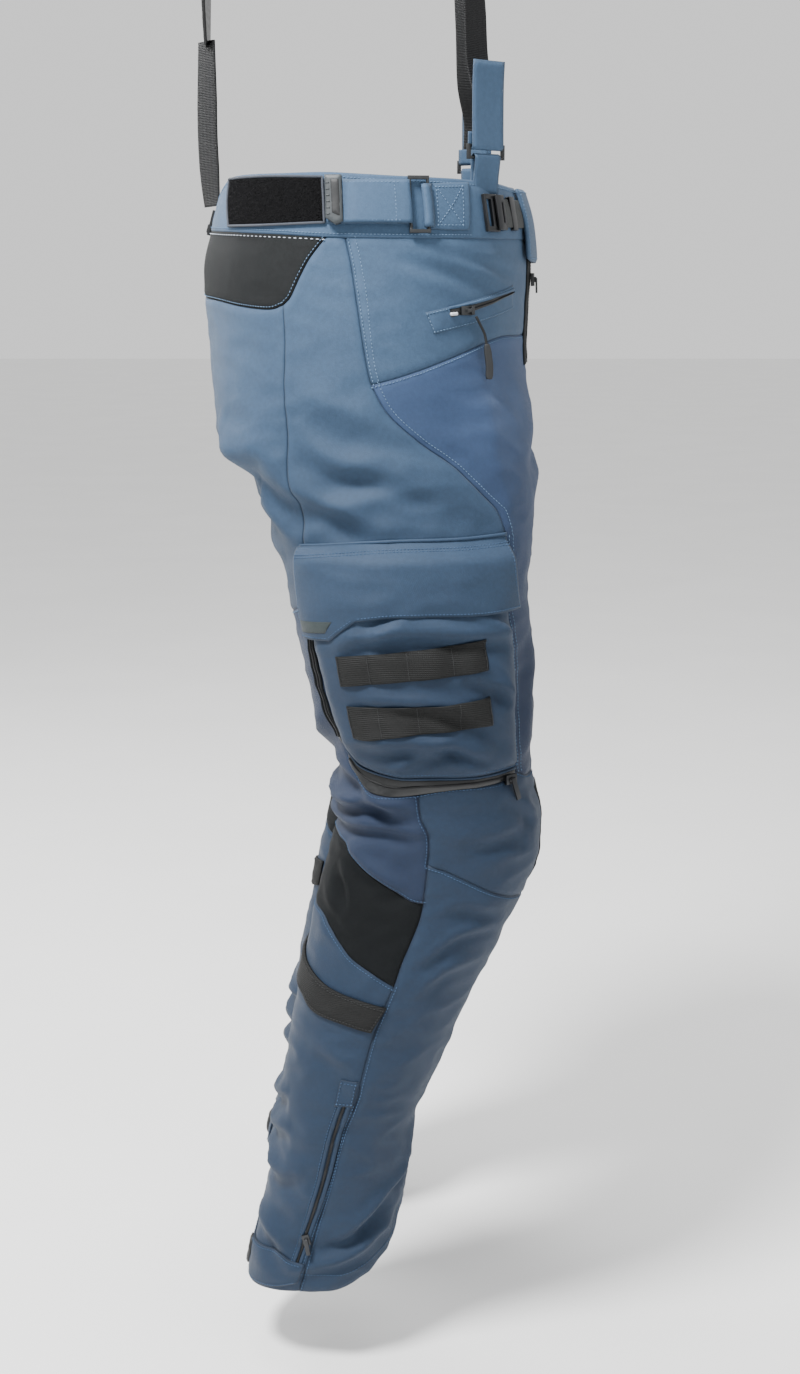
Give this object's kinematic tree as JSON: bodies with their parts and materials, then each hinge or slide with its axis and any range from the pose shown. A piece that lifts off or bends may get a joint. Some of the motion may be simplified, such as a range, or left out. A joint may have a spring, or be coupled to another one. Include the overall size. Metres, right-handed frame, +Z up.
{
  "type": "protective work trousers",
  "caption": "Long padded work trousers with shoulder braces, side waist adjusters, front buckle, thigh cargo pockets with webbing, jointed knees and zipped ankles.",
  "frame": {"origin": "middle of the waist opening, 20 mm below the top edge of the waistband at the sides", "axes": "+X towards the wearer's front, +Y towards the wearer's left, +Z up"},
  "size_m": [0.3241, 0.4522, 1.5285],
  "materials": {
    "main_cloth": "matt woven",
    "stretch_cloth": "matt stretch",
    "black_cloth": "matt stretch",
    "webbing": "woven tape",
    "black_hardware": "moulded",
    "buckle_metal": "satin",
    "rubber_pull": "matt"
  },
  "bodies": {
    "garment": {"waistband": "main_cloth", "back_yoke": "black_cloth", "brace_back": "webbing", "brace_clip": "black_hardware", "fly_zip": "webbing", "buckle_frame": "buckle_metal", "buckle_webbing": "webbing", "right_back_panel": "main_cloth", "right_side_panel": "main_cloth", "right_hip_panel": "main_cloth", "right_front_panel": "stretch_cloth", "right_brace_ring": "black_hardware", "right_brace_strap": "webbing", "right_cargo_bag": "main_cloth", "right_webbing_upper": "webbing", "right_webbing_lower": "webbing", "left_back_panel": "main_cloth", "left_side_panel": "main_cloth", "left_hip_panel": "main_cloth", "left_front_panel": "stretch_cloth", "left_brace_ring": "black_hardware", "left_brace_strap": "webbing", "left_cargo_bag": "main_cloth", "left_webbing_upper": "webbing", "left_webbing_lower": "webbing"},
    "right_shank": {"right_shank_front": "main_cloth", "right_shank_rear": "main_cloth", "right_knee_front": "main_cloth", "right_knee_rear": "stretch_cloth", "right_calf_panel": "black_cloth"},
    "right_adjuster_ring": {"right_adjuster_ring": "black_hardware"},
    "right_adjuster_strap": {"right_adjuster_strap": "main_cloth"},
    "right_brace_fold": {"right_brace_fold": "main_cloth"},
    "right_cargo_flap": {"right_cargo_flap": "main_cloth"},
    "right_cargo_slider": {"right_cargo_slider": "black_hardware"},
    "right_hand_slider": {"right_hand_slider": "black_hardware"},
    "right_hand_puller": {"right_hand_puller": "rubber_pull"},
    "right_ankle_slider": {"right_ankle_slider": "black_hardware"},
    "right_calf_strap": {"right_calf_strap": "webbing"},
    "right_hem_tab": {"right_hem_tab": "main_cloth"},
    "left_shank": {"left_shank_front": "main_cloth", "left_shank_rear": "main_cloth", "left_knee_front": "main_cloth", "left_knee_rear": "stretch_cloth", "left_calf_panel": "black_cloth"},
    "left_adjuster_ring": {"left_adjuster_ring": "black_hardware"},
    "left_adjuster_strap": {"left_adjuster_strap": "main_cloth"},
    "left_brace_fold": {"left_brace_fold": "main_cloth"},
    "left_cargo_flap": {"left_cargo_flap": "main_cloth"},
    "left_cargo_slider": {"left_cargo_slider": "black_hardware"},
    "left_hand_slider": {"left_hand_slider": "black_hardware"},
    "left_hand_puller": {"left_hand_puller": "rubber_pull"},
    "left_ankle_slider": {"left_ankle_slider": "black_hardware"},
    "left_calf_strap": {"left_calf_strap": "webbing"},
    "left_hem_tab": {"left_hem_tab": "main_cloth"},
    "fly_flap": {"fly_flap": "main_cloth"},
    "fly_slider": {"fly_slider": "black_hardware"},
    "buckle_hook": {"buckle_hook": "buckle_metal"},
    "buckle_glide": {"buckle_glide": "buckle_metal"}
  },
  "joints": [
    {"name": "right_knee", "type": "hinge", "parent": "garment", "child": "right_shank", "pos_m": [0.05, -0.13, -0.595], "axis": [0, 1, 0], "range_deg": [-5, 60], "deforming": ["right_knee_front", "right_knee_rear", "right_calf_panel"]},
    {"name": "right_adjuster_ring_swing", "type": "hinge", "parent": "garment", "child": "right_adjuster_ring", "pos_m": [0.05452, -0.16494, -0.00725], "axis": [-0.0402, 0.17, 0.9846], "range_deg": [0, 25]},
    {"name": "right_adjuster_strap_peel", "type": "hinge", "parent": "right_adjuster_ring", "child": "right_adjuster_strap", "pos_m": [0.03895, -0.16861, -0.00725], "axis": [-0.0402, 0.17, 0.9846], "range_deg": [0, 110]},
    {"name": "right_brace_fold_peel", "type": "hinge", "parent": "garment", "child": "right_brace_fold", "pos_m": [0.106, -0.121, 0.044], "axis": [0.7507, 0.6606, 0], "range_deg": [0, 120]},
    {"name": "right_cargo_flap_lift", "type": "hinge", "parent": "garment", "child": "right_cargo_flap", "pos_m": [0.033, -0.198, -0.288], "axis": [-1, 0, 0], "range_deg": [0, 110]},
    {"name": "right_cargo_zip", "type": "hinge", "parent": "garment", "child": "right_cargo_slider", "pos_m": [0.0755, -0.125, -0.519], "axis": [0, 0, -1], "range_deg": [0, 40]},
    {"name": "right_hand_zip", "type": "hinge", "parent": "garment", "child": "right_hand_slider", "pos_m": [-0.02, 0.012, -0.098], "axis": [0, 0, 1], "range_deg": [0, 16]},
    {"name": "right_hand_puller_swing", "type": "hinge", "parent": "right_hand_slider", "child": "right_hand_puller", "pos_m": [0.0973, -0.157, -0.1032], "axis": [0.5618, -0.8234, 0.0795], "range_deg": [-25, 35]},
    {"name": "right_ankle_zip", "type": "slide", "parent": "right_shank", "child": "right_ankle_slider", "axis": [0.2786, -0.0193, 0.9602], "range_m": [0, 0.12]},
    {"name": "right_calf_strap_peel", "type": "hinge", "parent": "right_shank", "child": "right_calf_strap", "pos_m": [-0.06, -0.095, -0.72], "axis": [0, 0, -1], "range_deg": [0, 60]},
    {"name": "right_hem_tab_peel", "type": "hinge", "parent": "right_shank", "child": "right_hem_tab", "pos_m": [-0.065, -0.2025, -1.02], "axis": [0, 0, 1], "range_deg": [0, 80]},
    {"name": "left_knee", "type": "hinge", "parent": "garment", "child": "left_shank", "pos_m": [0.05, 0.13, -0.595], "axis": [0, 1, 0], "range_deg": [-5, 60], "deforming": ["left_knee_front", "left_knee_rear", "left_calf_panel"]},
    {"name": "left_adjuster_ring_swing", "type": "hinge", "parent": "garment", "child": "left_adjuster_ring", "pos_m": [0.05452, 0.16494, -0.00725], "axis": [0.0402, 0.17, -0.9846], "range_deg": [0, 25]},
    {"name": "left_adjuster_strap_peel", "type": "hinge", "parent": "left_adjuster_ring", "child": "left_adjuster_strap", "pos_m": [0.03895, 0.16861, -0.00725], "axis": [0.0402, 0.17, -0.9846], "range_deg": [0, 110]},
    {"name": "left_brace_fold_peel", "type": "hinge", "parent": "garment", "child": "left_brace_fold", "pos_m": [0.106, 0.121, 0.044], "axis": [-0.7507, 0.6606, 0], "range_deg": [0, 120]},
    {"name": "left_cargo_flap_lift", "type": "hinge", "parent": "garment", "child": "left_cargo_flap", "pos_m": [0.033, 0.198, -0.288], "axis": [1, 0, 0], "range_deg": [0, 110]},
    {"name": "left_cargo_zip", "type": "hinge", "parent": "garment", "child": "left_cargo_slider", "pos_m": [0.0755, 0.125, -0.519], "axis": [0, 0, 1], "range_deg": [0, 40]},
    {"name": "left_hand_zip", "type": "hinge", "parent": "garment", "child": "left_hand_slider", "pos_m": [-0.02, -0.012, -0.098], "axis": [0, 0, -1], "range_deg": [0, 16]},
    {"name": "left_hand_puller_swing", "type": "hinge", "parent": "left_hand_slider", "child": "left_hand_puller", "pos_m": [0.0973, 0.157, -0.1032], "axis": [-0.5618, -0.8234, -0.0795], "range_deg": [-25, 35]},
    {"name": "left_ankle_zip", "type": "slide", "parent": "left_shank", "child": "left_ankle_slider", "axis": [0.2786, 0.0193, 0.9602], "range_m": [0, 0.12]},
    {"name": "left_calf_strap_peel", "type": "hinge", "parent": "left_shank", "child": "left_calf_strap", "pos_m": [-0.06, 0.095, -0.72], "axis": [0, 0, 1], "range_deg": [0, 60]},
    {"name": "left_hem_tab_peel", "type": "hinge", "parent": "left_shank", "child": "left_hem_tab", "pos_m": [-0.065, 0.2025, -1.02], "axis": [0, 0, -1], "range_deg": [0, 80]},
    {"name": "fly_flap_open", "type": "hinge", "parent": "garment", "child": "fly_flap", "pos_m": [0.143, 0.078, -0.02], "axis": [0, 0, 1], "range_deg": [0, 100]},
    {"name": "fly_zip_travel", "type": "slide", "parent": "garment", "child": "fly_slider", "axis": [-0.0191, -0.0162, -0.9997], "range_m": [0, 0.06]},
    {"name": "buckle_hook_release", "type": "hinge", "parent": "garment", "child": "buckle_hook", "pos_m": [0.12238, -0.11386, -0.01318], "axis": [-0.1467, 0.1071, 0.9834], "range_deg": [0, 65]},
    {"name": "buckle_glide_travel", "type": "slide", "parent": "garment", "child": "buckle_glide", "axis": [0.4507, 0.8927, 0], "range_m": [-0.003, 0.004]}
  ]
}
